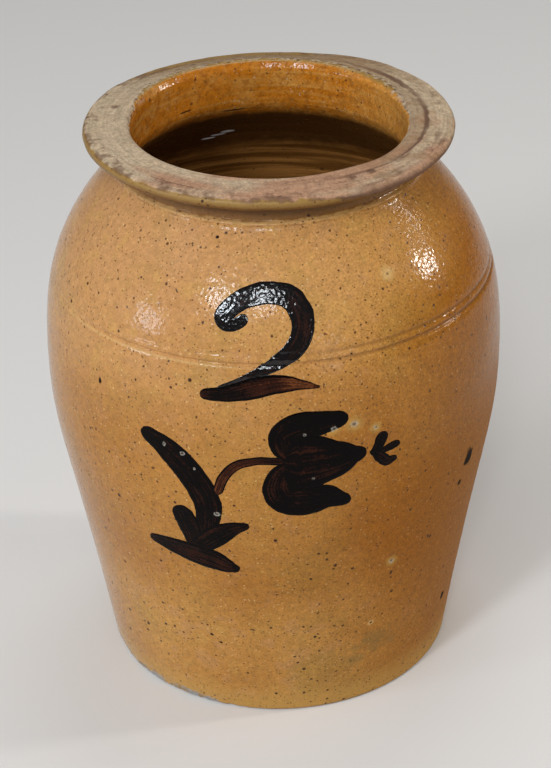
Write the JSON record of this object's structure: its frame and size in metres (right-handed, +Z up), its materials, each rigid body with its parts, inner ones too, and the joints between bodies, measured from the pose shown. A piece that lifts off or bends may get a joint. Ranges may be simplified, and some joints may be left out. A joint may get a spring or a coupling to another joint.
{
  "type": "storage crock",
  "caption": "Wheel-thrown stoneware storage jar with a flared flat rim, incised shoulder lines, and a capacity numeral and flower sprig brushed in dark slip.",
  "frame": {"origin": "centre of the flat foot, on the surface that the jar stands on", "axes": "+Z up along the jar's turning axis, -Y towards the painted front"},
  "size_m": [0.2284, 0.2289, 0.292],
  "materials": {
    "glazed_stoneware": "gloss",
    "dark_slip": "gloss"
  },
  "bodies": {
    "root": {"crock_body": "glazed_stoneware", "numeral_bow": "dark_slip", "numeral_foot": "dark_slip", "long_leaf": "dark_slip", "small_leaf": "dark_slip", "right_leaf": "dark_slip", "low_leaf": "dark_slip", "stem": "dark_slip", "upper_petal": "dark_slip", "heart_petal": "dark_slip", "lower_petal": "dark_slip", "bud_top": "dark_slip", "bud_side": "dark_slip", "bud_low": "dark_slip"}
  },
  "joints": []
}
